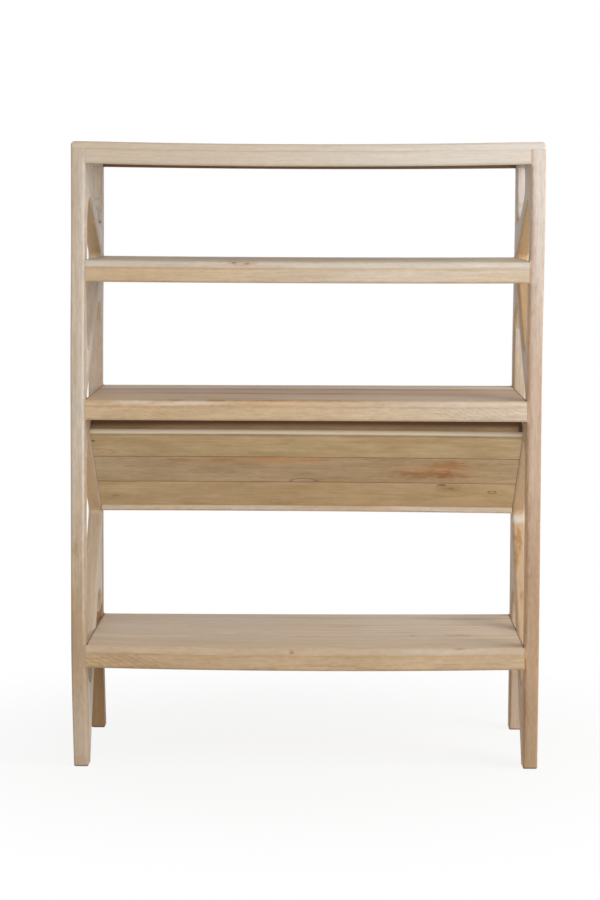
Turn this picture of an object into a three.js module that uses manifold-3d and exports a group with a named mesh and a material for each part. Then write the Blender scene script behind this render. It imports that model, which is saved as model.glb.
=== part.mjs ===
// Periodical display rack in solid light hardwood.
// Two open side frames, each a front and a rear post tied by a zigzag of four braces,
// carry a top, three shelves and a sloping display shelf with a lip along its lower edge.
// Millimetres. X runs to the right, Y from the front face to the rear, Z up from the floor.
// The origin is on the floor, at the middle of the footprint.

import * as THREE from 'three';
import { mergeVertices } from 'three/addons/utils/BufferGeometryUtils.js';
import Module from 'manifold-3d';

// Overall size
const WIDTH = 900;
const DEPTH = 400;
const HEIGHT = 1200;

// Side frames
const POST_WIDTH = 28;
const POST_DEPTH = 40;
const BRACE_WIDTH = 32;
const BRACE_CORNER_RADIUS = 55;
const TOP_CORNER_RADIUS = 30;
const TURN_RADIUS = 12;
const TOE_LENGTH = 6;

// Top and shelves: boards glued up from planks, lying on rails
const BOARD_THICKNESS = 14;
const PLANKS_PER_BOARD = 4;
const RAIL_HEIGHT = 28;
const RAIL_THICKNESS = 24;

// Clear heights of the two upper bays, and the level of the lower shelf above the floor
const UPPER_BAY_HEIGHT = 182;
const MIDDLE_BAY_HEIGHT = 224;
const LOWER_SHELF_TOP = 236;

// Stub tenons of the rails and the braces, and the room in every mortise
const TENON_LENGTH = 16;
const TENON_HEIGHT = 18;
const TENON_THICKNESS = 10;
const MORTISE_CLEARANCE = 0.3;

// Sloping display shelf, which falls from the level of the middle shelf
const SLOPE_DROP = 256;
const SLOPE_PLANKS = 3;
const SLOPE_UPPER_PLANK_WIDTH = 98;
const SLOPE_THICKNESS = 10;
const SLOPE_REVEAL = 4;
const SLOPE_INSET = 96;
const SLOPE_JOINT_GAP = 0.3;
const SLOPE_EDGE_ROUND = 1.5;
const SLOPE_NOSE_ROUND = 4.5;
const SLOPE_TENON_LENGTH = 12;
const SLOPE_TENON_WIDTH = 40;
const SLOPE_TENON_THICKNESS = 6;
const LIP_THICKNESS = 14;
const LIP_HEIGHT = 55;
const LIP_SETBACK = 35;
const LIP_EDGE_ROUND = 3;
const BACK_STOP_THICKNESS = 12;
const BACK_STOP_INSET = 12;

// Edges
const OPENING_ROUNDOVER = 6;
const BAY_CORNER_RADIUS = 6;
const OUTER_ROUNDOVER = 4.5;
const TOP_END_RADIUS = 8;
const FOOT_ROUNDOVER = 3;

// Fineness of the faceted curves, and how far a cutter stands off or past a face
const BRACE_ARC_STEPS = 6;
const EDGE_ARC_STEPS = 2;
const ROUNDOVER_STEPS = 3;
const CUT_MARGIN = 0.02;

// Wood colours
const POST_COLOUR = '#c9b79f';
const BRACE_COLOUR = '#b3a596';
const TOP_COLOUR = '#d6c5aa';
const SHELF_COLOUR = '#c8a982';
const SLOPE_COLOUR = '#a68d69';
const WOOD_ROUGHNESS = 0.6;

// Planes that the pieces share
const frontY = -DEPTH / 2;
const rearY = DEPTH / 2;
const frontPostY = frontY + POST_DEPTH;
const rearPostY = rearY - POST_DEPTH;
const innerX = WIDTH / 2 - POST_WIDTH;
const topUnderside = HEIGHT - BOARD_THICKNESS;
const topRailBottom = topUnderside - RAIL_HEIGHT;
const shelfDrop = BOARD_THICKNESS + RAIL_HEIGHT;
const upperShelfTop = topRailBottom - UPPER_BAY_HEIGHT;
const middleShelfTop = upperShelfTop - shelfDrop - MIDDLE_BAY_HEIGHT;
const lipBottom = middleShelfTop - SLOPE_DROP;

const wasm = await Module();
wasm.setup();

// A solid body from a closed three.js geometry.
function solid(geometry) {
  const bare = new THREE.BufferGeometry();
  bare.setAttribute('position', geometry.getAttribute('position'));
  bare.setIndex(geometry.getIndex());
  const merged = mergeVertices(bare);
  return new wasm.Manifold(new wasm.Mesh({
    numProp: 3,
    vertProperties: new Float32Array(merged.getAttribute('position').array),
    triVerts: new Uint32Array(merged.getIndex().array),
  }));
}

// A named mesh from a solid body.
function piece(name, body, colour) {
  const { vertProperties, triVerts } = body.getMesh();
  const geometry = new THREE.BufferGeometry();
  geometry.setAttribute('position', new THREE.BufferAttribute(vertProperties, 3));
  geometry.setIndex(new THREE.BufferAttribute(triVerts, 1));
  geometry.computeVertexNormals();
  const material = new THREE.MeshStandardMaterial({
    color: colour,
    roughness: WOOD_ROUGHNESS,
    metalness: 0,
  });
  const mesh = new THREE.Mesh(geometry, material);
  mesh.name = name;
  return mesh;
}

// A box between two opposite corners.
function box(low, high) {
  const size = high.map((value, axis) => value - low[axis]);
  const middle = high.map((value, axis) => (value + low[axis]) / 2);
  return solid(new THREE.BoxGeometry(...size).translate(...middle));
}

// A convex outline, counter-clockwise, whose corners are [x, y, radius].
function roundedShape(corners) {
  const shape = new THREE.Shape();
  corners.forEach(([x, y, radius], index) => {
    if (radius === 0) {
      if (index === 0) {
        shape.moveTo(x, y);
      } else {
        shape.lineTo(x, y);
      }
      return;
    }
    const corner = new THREE.Vector2(x, y);
    const [beforeX, beforeY] = corners.at(index - 1);
    const [afterX, afterY] = corners[(index + 1) % corners.length];
    const before = new THREE.Vector2(beforeX, beforeY).sub(corner).normalize();
    const after = new THREE.Vector2(afterX, afterY).sub(corner).normalize();
    const halfAngle = Math.acos(before.dot(after)) / 2;
    const reach = radius / Math.tan(halfAngle);
    const bisector = before.clone().add(after).normalize();
    const centre = corner.clone().addScaledVector(bisector, radius / Math.sin(halfAngle));
    const start = corner.clone().addScaledVector(before, reach).sub(centre);
    const end = corner.clone().addScaledVector(after, reach).sub(centre);
    if (index > 0) {
      shape.lineTo(centre.x + start.x, centre.y + start.y);
    }
    shape.absarc(centre.x, centre.y, radius, start.angle(), end.angle(), false);
  });
  shape.closePath();
  return shape;
}

// Outline planes: along X an outline is in Y and Z, along Y in X and Z, along Z in X and Y.
const right = new THREE.Vector3(1, 0, 0);
const rearward = new THREE.Vector3(0, 1, 0);
const forward = new THREE.Vector3(0, -1, 0);
const upward = new THREE.Vector3(0, 0, 1);
const OUTLINE_PLANES = {
  x: new THREE.Matrix4().makeBasis(rearward, upward, right),
  y: new THREE.Matrix4().makeBasis(right, upward, forward),
  z: new THREE.Matrix4(),
};

// A prism of an outline between two places along an axis. A positive flare widens both ends
// in a quarter round, as a cutter that rounds an edge over; a negative one rounds the ends in.
function prism(shape, axis, from, to, flare = 0, arcSteps = EDGE_ARC_STEPS) {
  const edge = Math.abs(flare);
  const geometry = new THREE.ExtrudeGeometry(shape, {
    depth: to - from - 2 * edge,
    curveSegments: arcSteps,
    bevelEnabled: edge > 0,
    bevelThickness: edge,
    bevelSize: -flare,
    bevelOffset: flare,
    bevelSegments: ROUNDOVER_STEPS,
  });
  geometry.translate(0, 0, axis === 'y' ? edge - to : edge + from);
  geometry.applyMatrix4(OUTLINE_PLANES[axis]);
  return solid(geometry);
}

// The zigzag: each brace falls from one post to the other. Its upper edge leaves the first
// post at one turn, and its lower edge reaches the other post at the next turn down.
function brace(name, startY, startZ, endY, endZ) {
  const run = Math.abs(endY - startY);
  const drop = startZ - endZ;
  const angle = Math.acos(BRACE_WIDTH / Math.hypot(run, drop)) - Math.atan2(run, drop);
  const fall = Math.tan(angle);
  const halfHeight = BRACE_WIDTH / Math.cos(angle) / 2;
  const [startFace, endFace] = startY < endY ? [frontPostY, rearPostY] : [rearPostY, frontPostY];
  return {
    name,
    angle,
    top: startZ,
    bottom: endZ,
    upper: (y) => startZ - fall * Math.abs(y - startY),
    lower: (y) => endZ + fall * Math.abs(endY - y),
    ends: [[startFace, startZ - halfHeight], [endFace, endZ + halfHeight]],
  };
}

const toeY = frontPostY + TOE_LENGTH;
const topBrace = brace('brace_top', frontPostY, topRailBottom, rearPostY, upperShelfTop);
const upperBrace = brace('brace_upper', rearPostY, upperShelfTop, frontPostY, middleShelfTop);
const middleBrace = brace('brace_middle', frontPostY, middleShelfTop, rearPostY, lipBottom);
const lowerBrace = brace('brace_lower', rearPostY, lipBottom, toeY, 0);
const braces = [topBrace, upperBrace, middleBrace, lowerBrace];

// The openings between the braces and the posts, from the top down. Their outlines stand
// a hair inside the posts, so that the braces end cleanly on them.
function openingOutlines() {
  const front = frontPostY - CUT_MARGIN;
  const rear = rearPostY + CUT_MARGIN;
  const ceiling = topRailBottom + CUT_MARGIN;
  const underFloor = -BRACE_WIDTH;
  const toeUnderFloor = toeY + underFloor / Math.tan(lowerBrace.angle);
  return [
    [
      [frontPostY, ceiling, TOP_CORNER_RADIUS],
      [rear, topBrace.upper(rear), BRACE_CORNER_RADIUS],
      [rear, ceiling, 0],
    ],
    [
      [front, topBrace.lower(front), BRACE_CORNER_RADIUS],
      [front, upperBrace.upper(front), BRACE_CORNER_RADIUS],
      [rear, upperShelfTop, TURN_RADIUS],
    ],
    [
      [front, middleShelfTop, TURN_RADIUS],
      [rear, middleBrace.upper(rear), BRACE_CORNER_RADIUS],
      [rear, upperBrace.lower(rear), BRACE_CORNER_RADIUS],
    ],
    [
      [front, middleBrace.lower(front), BRACE_CORNER_RADIUS],
      [front, lowerBrace.upper(front), BRACE_CORNER_RADIUS],
      [rear, lipBottom, TURN_RADIUS],
    ],
    [
      [toeUnderFloor, underFloor, 0],
      [rear, underFloor, 0],
      [rear, lowerBrace.lower(rear), BRACE_CORNER_RADIUS],
    ],
  ];
}

// The bays between the side frames, from the top down, as [floor, ceiling] heights.
const bayHeights = [
  [upperShelfTop, topRailBottom],
  [middleShelfTop, upperShelfTop - shelfDrop],
  [LOWER_SHELF_TOP, middleShelfTop - shelfDrop],
  [-RAIL_HEIGHT, LOWER_SHELF_TOP - shelfDrop],
];

// Each bay has its edges rounded over in front and behind, with round inner corners.
const bayCutters = bayHeights.map(([low, high]) => {
  const half = innerX - CUT_MARGIN;
  const corners = [
    [-half, low + CUT_MARGIN, BAY_CORNER_RADIUS],
    [half, low + CUT_MARGIN, BAY_CORNER_RADIUS],
    [half, high - CUT_MARGIN, BAY_CORNER_RADIUS],
    [-half, high - CUT_MARGIN, BAY_CORNER_RADIUS],
  ];
  const ends = [frontY - CUT_MARGIN, rearY + CUT_MARGIN];
  return prism(roundedShape(corners), 'y', ...ends, OPENING_ROUNDOVER);
});

function cutBy(body, cutters) {
  return cutters.reduce((rest, cutter) => rest.subtract(cutter), body);
}

// The front and rear rails: places along the depth, and heights of their undersides.
const railFaces = [
  ['front', frontY, frontY + RAIL_THICKNESS],
  ['rear', rearY - RAIL_THICKNESS, rearY],
];
const railLevels = [
  ['top', topRailBottom],
  ['upper_shelf', upperShelfTop - shelfDrop],
  ['middle_shelf', middleShelfTop - shelfDrop],
  ['lower_shelf', LOWER_SHELF_TOP - shelfDrop],
];

// The tenon of a rail that lies along X runs through its whole length and past both ends.
function tenonAlongX(lowY, highY, bottom, room) {
  const end = innerX + TENON_LENGTH + room;
  const halfThickness = TENON_THICKNESS / 2 + room;
  const halfHeight = TENON_HEIGHT / 2 + room;
  const middleY = (lowY + highY) / 2;
  const middleZ = bottom + RAIL_HEIGHT / 2;
  return box(
    [-end, middleY - halfThickness, middleZ - halfHeight],
    [end, middleY + halfThickness, middleZ + halfHeight],
  );
}

// The same for the rails and braces of a side frame, which enter the posts along Y.
function tenonAlongY(lowX, highX, frontFace, rearFace, middleZ, room) {
  const frontEnd = frontFace - TENON_LENGTH - room;
  const rearEnd = rearFace + TENON_LENGTH + room;
  const halfThickness = TENON_THICKNESS / 2 + room;
  const halfHeight = TENON_HEIGHT / 2 + room;
  const middleX = (lowX + highX) / 2;
  return box(
    [middleX - halfThickness, frontEnd, middleZ - halfHeight],
    [middleX + halfThickness, rearEnd, middleZ + halfHeight],
  );
}

function topRailTenon(lowX, highX, room) {
  const middleZ = topRailBottom + RAIL_HEIGHT / 2;
  return tenonAlongY(lowX, highX, frontPostY, rearPostY, middleZ, room);
}

function braceTenons(lowX, highX, { ends }, room) {
  return ends.map(([face, middleZ]) => tenonAlongY(lowX, highX, face, face, middleZ, room));
}

const railMortises = railLevels.flatMap(([, bottom]) => railFaces.map(
  ([, lowY, highY]) => tenonAlongX(lowY, highY, bottom, MORTISE_CLEARANCE),
));

// The display slope lies inside the middle braces, a little above their lower edges.
// Places on it are measured along the fall from its upper end, and off its lower face.
const slopeCos = Math.cos(middleBrace.angle);
const slopeSin = Math.sin(middleBrace.angle);
const slopeTopY = frontY + SLOPE_INSET;
const slopeTopZ = middleBrace.lower(slopeTopY) + SLOPE_REVEAL / slopeCos;
const lipFrontY = rearY - LIP_SETBACK - LIP_THICKNESS;
const slopeLength = (lipFrontY - SLOPE_JOINT_GAP - slopeTopY) / slopeCos;
const slopePitch = (slopeLength - SLOPE_UPPER_PLANK_WIDTH) / (SLOPE_PLANKS - 1);

// Where a plank of the slope starts and ends along the fall. The upper one has its own width.
function slopeSpan(index) {
  if (index === 0) {
    return [0, SLOPE_UPPER_PLANK_WIDTH];
  }
  const end = SLOPE_UPPER_PLANK_WIDTH + index * slopePitch;
  return [end - slopePitch + SLOPE_JOINT_GAP, end];
}

function onSlope(along, off) {
  return [
    slopeTopY + along * slopeCos + off * slopeSin,
    slopeTopZ - along * slopeSin + off * slopeCos,
  ];
}

function slopeTenon(index, room) {
  const [plankStart, plankEnd] = slopeSpan(index);
  const start = (plankStart + plankEnd - SLOPE_TENON_WIDTH) / 2 - room;
  const end = start + SLOPE_TENON_WIDTH + 2 * room;
  const low = (SLOPE_THICKNESS - SLOPE_TENON_THICKNESS) / 2 - room;
  const high = low + SLOPE_TENON_THICKNESS + 2 * room;
  const outline = [
    [...onSlope(start, low), 0],
    [...onSlope(end, low), 0],
    [...onSlope(end, high), 0],
    [...onSlope(start, high), 0],
  ];
  const reach = innerX + SLOPE_TENON_LENGTH + room;
  return prism(roundedShape(outline), 'x', -reach, reach);
}

function slopePlank(index) {
  const [start, end] = slopeSpan(index);
  const isLowest = index === SLOPE_PLANKS - 1;
  const plumbCut = isLowest ? SLOPE_THICKNESS * Math.tan(middleBrace.angle) : 0;
  const startRound = index === 0 ? SLOPE_NOSE_ROUND : SLOPE_EDGE_ROUND;
  const outline = [
    [...onSlope(start, 0), startRound],
    [...onSlope(end, 0), SLOPE_EDGE_ROUND],
    [...onSlope(end - plumbCut, SLOPE_THICKNESS), SLOPE_EDGE_ROUND],
    [...onSlope(start, SLOPE_THICKNESS), startRound],
  ];
  const arcSteps = index === 0 ? BRACE_ARC_STEPS : EDGE_ARC_STEPS;
  return prism(roundedShape(outline), 'x', -innerX, innerX, 0, arcSteps).add(slopeTenon(index, 0));
}

const slopeIndexes = Array.from({ length: SLOPE_PLANKS }, (_, index) => index);
const slopeMortises = slopeIndexes.map((index) => slopeTenon(index, MORTISE_CLEARANCE));

// A post of a side frame, with its outer edges and its foot rounded over.
function post(lowX, highX, lowY, highY, openings) {
  const leftRound = lowX < 0 ? OUTER_ROUNDOVER : 0;
  const rightRound = OUTER_ROUNDOVER - leftRound;
  const section = roundedShape([
    [lowX, lowY, leftRound],
    [highX, lowY, rightRound],
    [highX, highY, rightRound],
    [lowX, highY, leftRound],
  ]);
  const blank = prism(section, 'z', 0, topUnderside + FOOT_ROUNDOVER, -FOOT_ROUNDOVER);
  const trimmed = blank.intersect(box([lowX, lowY, 0], [highX, highY, topUnderside]));
  const mortises = [
    ...railMortises,
    topRailTenon(lowX, highX, MORTISE_CLEARANCE),
    ...braces.flatMap((each) => braceTenons(lowX, highX, each, MORTISE_CLEARANCE)),
  ];
  return cutBy(trimmed, [...bayCutters, ...openings, ...mortises]);
}

// One side frame: two posts, the rail under the top and the zigzag of braces.
function sideFrame(side, lowX, highX) {
  const frame = new THREE.Group();
  const openings = openingOutlines().map((corners) => prism(
    roundedShape(corners),
    'x',
    lowX - CUT_MARGIN,
    highX + CUT_MARGIN,
    OPENING_ROUNDOVER,
    BRACE_ARC_STEPS,
  ));
  const frontPost = post(lowX, highX, frontY, frontPostY, openings);
  const rearPost = post(lowX, highX, rearPostY, rearY, openings);
  frame.add(piece(`post_front_${side}`, frontPost, POST_COLOUR));
  frame.add(piece(`post_rear_${side}`, rearPost, POST_COLOUR));
  const railBody = box([lowX, frontPostY, topRailBottom], [highX, rearPostY, topUnderside]);
  const rail = cutBy(railBody, openings).add(topRailTenon(lowX, highX, 0));
  frame.add(piece(`top_rail_${side}`, rail, POST_COLOUR));
  for (const each of braces) {
    const blank = box([lowX, frontPostY, each.bottom], [highX, rearPostY, each.top]);
    const tenoned = braceTenons(lowX, highX, each, 0).reduce((body, tenon) => body.add(tenon), blank);
    const mortises = each === middleBrace ? slopeMortises : [];
    frame.add(piece(`${each.name}_${side}`, cutBy(tenoned, [...openings, ...mortises]), BRACE_COLOUR));
  }
  return frame;
}

// The front and rear rails of the top or a shelf.
function rails(level, bottom, colour) {
  const group = new THREE.Group();
  for (const [face, lowY, highY] of railFaces) {
    const body = box([-innerX, lowY, bottom], [innerX, highY, bottom + RAIL_HEIGHT]);
    const rail = cutBy(body, bayCutters).add(tenonAlongX(lowY, highY, bottom, 0));
    group.add(piece(`${level}_rail_${face}`, rail, colour));
  }
  return group;
}

// A board ripped into planks of equal width, numbered from the front.
function planks(name, board, bottom, colour) {
  const group = new THREE.Group();
  const plankWidth = DEPTH / PLANKS_PER_BOARD;
  for (let index = 0; index < PLANKS_PER_BOARD; index += 1) {
    const lowY = frontY + index * plankWidth;
    const strip = box(
      [-WIDTH, lowY, bottom],
      [WIDTH, lowY + plankWidth, bottom + BOARD_THICKNESS],
    );
    group.add(piece(`${name}_plank_${index + 1}`, board.intersect(strip), colour));
  }
  return group;
}

// The top lies over the posts. Its ends and its long edges are rounded.
function topBoard() {
  const half = WIDTH / 2;
  const plan = roundedShape([
    [-half, frontY, OUTER_ROUNDOVER],
    [half, frontY, OUTER_ROUNDOVER],
    [half, rearY, OUTER_ROUNDOVER],
    [-half, rearY, OUTER_ROUNDOVER],
  ]);
  const elevation = roundedShape([
    [-half, topUnderside, 0],
    [half, topUnderside, 0],
    [half, HEIGHT, TOP_END_RADIUS],
    [-half, HEIGHT, TOP_END_RADIUS],
  ]);
  const section = roundedShape([
    [frontY, topUnderside, 0],
    [rearY, topUnderside, 0],
    [rearY, HEIGHT, OUTER_ROUNDOVER],
    [frontY, HEIGHT, OUTER_ROUNDOVER],
  ]);
  return prism(plan, 'z', topUnderside, HEIGHT)
    .intersect(prism(elevation, 'y', frontY, rearY))
    .intersect(prism(section, 'x', -half, half));
}

// A shelf board between the side frames, flush with the posts in front and behind.
function shelfBoard(top) {
  const body = box([-innerX, frontY, top - BOARD_THICKNESS], [innerX, rearY, top]);
  return cutBy(body, bayCutters);
}

// The lip stands upright along the lower edge and keeps the papers from sliding off.
function slopeLip() {
  const outline = [
    [lipFrontY, lipBottom, LIP_EDGE_ROUND],
    [lipFrontY + LIP_THICKNESS, lipBottom, LIP_EDGE_ROUND],
    [lipFrontY + LIP_THICKNESS, lipBottom + LIP_HEIGHT, LIP_EDGE_ROUND],
    [lipFrontY, lipBottom + LIP_HEIGHT, LIP_EDGE_ROUND],
  ];
  return prism(roundedShape(outline), 'x', -innerX, innerX);
}

// The back stop fills the space between the upper end of the slope and the shelf above it.
function slopeBackStop() {
  const [slopeEdgeY, slopeEdgeZ] = onSlope(0, SLOPE_THICKNESS);
  const seat = (y) => slopeEdgeZ - (y - slopeEdgeY) * Math.tan(middleBrace.angle)
    + SLOPE_JOINT_GAP / slopeCos;
  const lowY = slopeEdgeY + BACK_STOP_INSET;
  const highY = lowY + BACK_STOP_THICKNESS;
  const ceiling = middleShelfTop - BOARD_THICKNESS;
  const outline = [
    [lowY, seat(lowY), 0],
    [highY, seat(highY), 0],
    [highY, ceiling, 0],
    [lowY, ceiling, 0],
  ];
  return prism(roundedShape(outline), 'x', -innerX, innerX);
}

const rack = new THREE.Group();
rack.name = 'periodical_display_rack';

rack.add(sideFrame('left', -WIDTH / 2, -innerX));
rack.add(sideFrame('right', innerX, WIDTH / 2));

rack.add(planks('top', topBoard(), topUnderside, TOP_COLOUR));
const shelfTops = [
  ['upper_shelf', upperShelfTop],
  ['middle_shelf', middleShelfTop],
  ['lower_shelf', LOWER_SHELF_TOP],
];
for (const [name, top] of shelfTops) {
  rack.add(planks(name, shelfBoard(top), top - BOARD_THICKNESS, SHELF_COLOUR));
}
for (const [level, bottom] of railLevels) {
  rack.add(rails(level, bottom, level === 'top' ? TOP_COLOUR : SHELF_COLOUR));
}

const slope = new THREE.Group();
for (const index of slopeIndexes) {
  slope.add(piece(`slope_plank_${index + 1}`, slopePlank(index), SLOPE_COLOUR));
}
slope.add(piece('slope_lip', slopeLip(), SHELF_COLOUR));
slope.add(piece('slope_back_stop', slopeBackStop(), SLOPE_COLOUR));
rack.add(slope);

export default rack;
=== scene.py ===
"""Dresses the solids of a wooden periodical display rack and sets up a plain studio round it."""

import math
from types import SimpleNamespace

import bmesh
import bpy
from bpy.props import FloatProperty, FloatVectorProperty, PointerProperty
from mathutils import Matrix, Vector


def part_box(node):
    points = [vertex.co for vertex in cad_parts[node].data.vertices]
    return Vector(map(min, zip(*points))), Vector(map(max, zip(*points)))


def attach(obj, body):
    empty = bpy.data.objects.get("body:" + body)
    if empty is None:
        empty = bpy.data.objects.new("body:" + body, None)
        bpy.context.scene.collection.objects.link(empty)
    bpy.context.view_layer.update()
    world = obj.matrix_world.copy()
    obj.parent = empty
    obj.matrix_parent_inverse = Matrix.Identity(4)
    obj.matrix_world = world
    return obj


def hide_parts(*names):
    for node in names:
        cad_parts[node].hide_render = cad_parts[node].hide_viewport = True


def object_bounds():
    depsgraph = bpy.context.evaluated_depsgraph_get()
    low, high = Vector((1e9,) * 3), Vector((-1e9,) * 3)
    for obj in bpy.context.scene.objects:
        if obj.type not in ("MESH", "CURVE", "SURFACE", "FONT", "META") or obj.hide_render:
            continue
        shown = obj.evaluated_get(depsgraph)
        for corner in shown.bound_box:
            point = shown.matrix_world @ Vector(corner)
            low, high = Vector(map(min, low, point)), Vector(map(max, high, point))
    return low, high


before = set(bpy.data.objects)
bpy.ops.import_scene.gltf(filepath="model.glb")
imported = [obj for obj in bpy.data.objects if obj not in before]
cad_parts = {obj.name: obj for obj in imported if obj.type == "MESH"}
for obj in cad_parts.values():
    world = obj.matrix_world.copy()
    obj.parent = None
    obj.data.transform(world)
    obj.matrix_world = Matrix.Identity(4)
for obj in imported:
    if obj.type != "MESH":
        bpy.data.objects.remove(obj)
CAD_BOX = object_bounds()

bl_info = {
    "name": "Periodical display rack",
    "version": (1, 0, 0),
    "blender": (4, 5, 0),
    "location": "3D View > Sidebar > Rack",
    "description": "Dresses the solids of a wooden display rack and sets up its studio",
    "category": "Object",
}

SIDES = ("left", "right")
FACES = ("front", "rear")
SHELVES = ("upper_shelf", "middle_shelf", "lower_shelf")
PLANKS = (1, 2, 3, 4)
SLOPE_PLANKS = (1, 2, 3)

# Fall of each brace below the level, in degrees, and whether it falls towards the rear.
BRACES = {
    "top": (24.64, True),
    "upper": (35.32, False),
    "middle": (34.18, True),
    "lower": (52.01, False),
}

# Name of the attribute that keeps where a point was before the boards settled.
REST_PLACE = "rest_place"

# Half the clear width and half the depth of the rack, and the level below which the legs are free.
HALF_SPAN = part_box("middle_shelf_plank_1")[1][0]
HALF_DEPTH = CAD_BOX[1][1]
LEG_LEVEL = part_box("lower_shelf_plank_1")[1][2]

# Undersides and tops of the flat shelves.
SHELF_SPANS = {
    shelf: (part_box(f"{shelf}_rail_front")[0][2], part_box(f"{shelf}_plank_1")[1][2])
    for shelf in SHELVES
}

# Levels between which the frame leans, and the power by which a left leg bends towards its foot.
LEAN_LEVELS = (0.75, 1.08)
LEG_CURVE = 1.4

# Points closer than the first are merged. Faces that meet at less than the flat angle become one,
# edges sharper than the eased angle get a flat, and those under the smooth angle look round.
MERGE_DISTANCE = 1e-6
FLAT_ANGLE = math.radians(0.4)
EASED_ANGLE = math.radians(50)
SMOOTH_ANGLE = math.radians(40)

# Axis along which a piece is cut across, so that it can bend, and into how many lengths.
FRAME_LENGTHS = (2, 24)
BOARD_LENGTHS = (0, 16)

# Place, target and size of each lamp, and the setting that holds its power.
LAMPS = {
    "side_lamp": ((2.4, -1.0, 1.6), (0.0, 0.0, 0.75), (2.0, 2.2), "side_power"),
    "front_lamp": ((0.2, -4.0, 1.3), (0.0, 0.0, 0.6), (2.4, 0.8), "front_power"),
}

# Half the width of the floor, its finish, the distances between which the shadow on it fades, and
# how much white lies over it there.
FLOOR_REACH = 60.0
FLOOR_ROUGHNESS = 0.9
FLOOR_SPECULAR = 0.1
SHADOW_FADE = (0.35, 1.1)
FLOOR_WHITE = (0.86, 1.0)
WHITE = (1.0, 1.0, 1.0, 1.0)


def linear(code):
    """A colour written as RRGGBB, as the linear numbers that Blender keeps."""
    shares = [int(code[start:start + 2], 16) / 255 for start in (0, 2, 4)]
    return tuple(
        share / 12.92 if share <= 0.04045 else ((share + 0.055) / 1.055) ** 2.4
        for share in shares
    )


def colour(name, description, code):
    """A setting that holds a colour, with its default written as RRGGBB."""
    return FloatVectorProperty(
        name=name, description=description, default=linear(code),
        subtype="COLOR", min=0.0, max=1.0,
    )


def length(name, description, metres):
    """A setting that holds a length in metres."""
    return FloatProperty(name=name, description=description, default=metres, unit="LENGTH")


def corners(name, description, metres):
    """A setting that holds a height for each corner of a board."""
    return FloatVectorProperty(
        name=name, description=f"{description}: front left, front right, rear left, rear right",
        size=4, default=metres, unit="LENGTH",
    )


class RackWood(bpy.types.PropertyGroup):
    """Colours and figure of the wood."""

    post_wood: colour("Post wood", "Wood of the posts, under its lime", "C6AE90")
    brace_wood: colour("Brace wood", "Wood of the braces, under its lime", "CBB498")
    top_wood: colour("Top wood", "Wood of the top, under its lime", "CDB494")
    shelf_wood: colour("Shelf wood", "Wood of the flat shelves", "C9AE8B")
    slope_wood: colour("Slope wood", "Honey wood of the sloping shelf", "D0B48A")
    warm_wood: colour("Warm wood", "Tone that bare wood takes on where lime has worn off", "AA885F")
    # Painted light in part: this tone also stands in for light on the braces' sawn faces, and for
    # warm bounced light on the sides of the right front post.
    cut_wood: colour("Cut wood", "Tone of sawn faces that took no lime", "CFAF86")
    # The pale nose tone is partly paler wood and partly painted highlight on the rounded edge.
    pale_wood: colour("Pale wood", "Palest tone, of a planed edge", "E4D5BD")
    # Painted shade: this dark tone darkens the back stop towards its top, standing in for the shade
    # under the middle shelf. It also draws the dark joint lines and the dark line at each post's
    # foot.
    dark_wood: colour("Dark wood", "Tone of wood that has darkened in a corner", "5E3B12")
    end_wood: colour("End grain", "Tone of end grain", "A98A66")
    # Lime also draws painted highlights, and on the side frames it stands partly for light.
    lime: colour("Lime", "White lime left in the grain", "DFD8CF")
    mineral: colour("Mineral streak", "Orange-brown streaks in the wood", "B07A45")
    rust: colour("Rust", "Orange stains in the sloping shelf", "D69B5F")
    seam: colour("Seam", "Dark line in a seam or a crack", "4A3626")
    ring_spacing: length("Ring spacing", "Width of a growth ring", 0.0075)
    # The line along an edge is partly wear and partly painted shade, standing in for warm shade on
    # rounded edges.
    worn_and_shaded_edge: length("Worn edge", "Width of the worn line along an edge", 0.0050)
    roughness: FloatProperty(
        name="Roughness", description="Roughness of the matt finish", default=0.56,
        min=0.0, max=1.0, subtype="FACTOR",
    )


class RackShape(bpy.types.PropertyGroup):
    """How far the boards have settled, and how their edges are eased."""

    eased_edge: length(
        "Eased edge", "Width of the flat on an edge that meets another piece", 0.0005,
    )
    top_front_sag: length("Top sag, front", "Drop of the top at mid span, in front", 0.0050)
    top_rear_sag: length("Top sag, rear", "Drop of the top at mid span, behind", 0.0030)
    top_lift: corners(
        "Top lift", "How far the corners of the top stand high", (0.0004, 0.0016, 0.0, 0.0),
    )
    upper_sag: length("Upper shelf sag", "Drop of the upper shelf at mid span", 0.0013)
    middle_lift: corners(
        "Middle shelf lift", "How far its corners stand high", (0.0, 0.0, 0.0, 0.0013),
    )
    middle_trim: length("Middle rails trim", "Height planed off the middle shelf's rails", 0.0020)
    lower_lift: corners(
        "Lower shelf lift", "How far its corners stand high", (0.0, 0.0, -0.0026, 0.0),
    )
    lower_trim: length("Lower rails trim", "Height planed off the lower shelf's rails", -0.0020)
    lower_front_sag: length("Lower shelf sag, front", "Drop of the lower shelf, in front", 0.0046)
    lower_rear_sag: length("Lower shelf sag, rear", "Drop of the lower shelf, behind", 0.0010)
    slope_rise: length("Slope rise", "Rise of the slope at mid span", 0.0015)
    slope_tilt: length("Slope tilt", "Drop of the slope's right end", 0.0025)
    leg_lean: length("Leg lean", "How far the left feet stand inwards", 0.0050)
    upper_lean: length("Upper lean", "How far the upper frame leans to the right", 0.0021)
    right_lean: length("Right lean", "How far the lower right side stands inwards", 0.0011)


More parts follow.
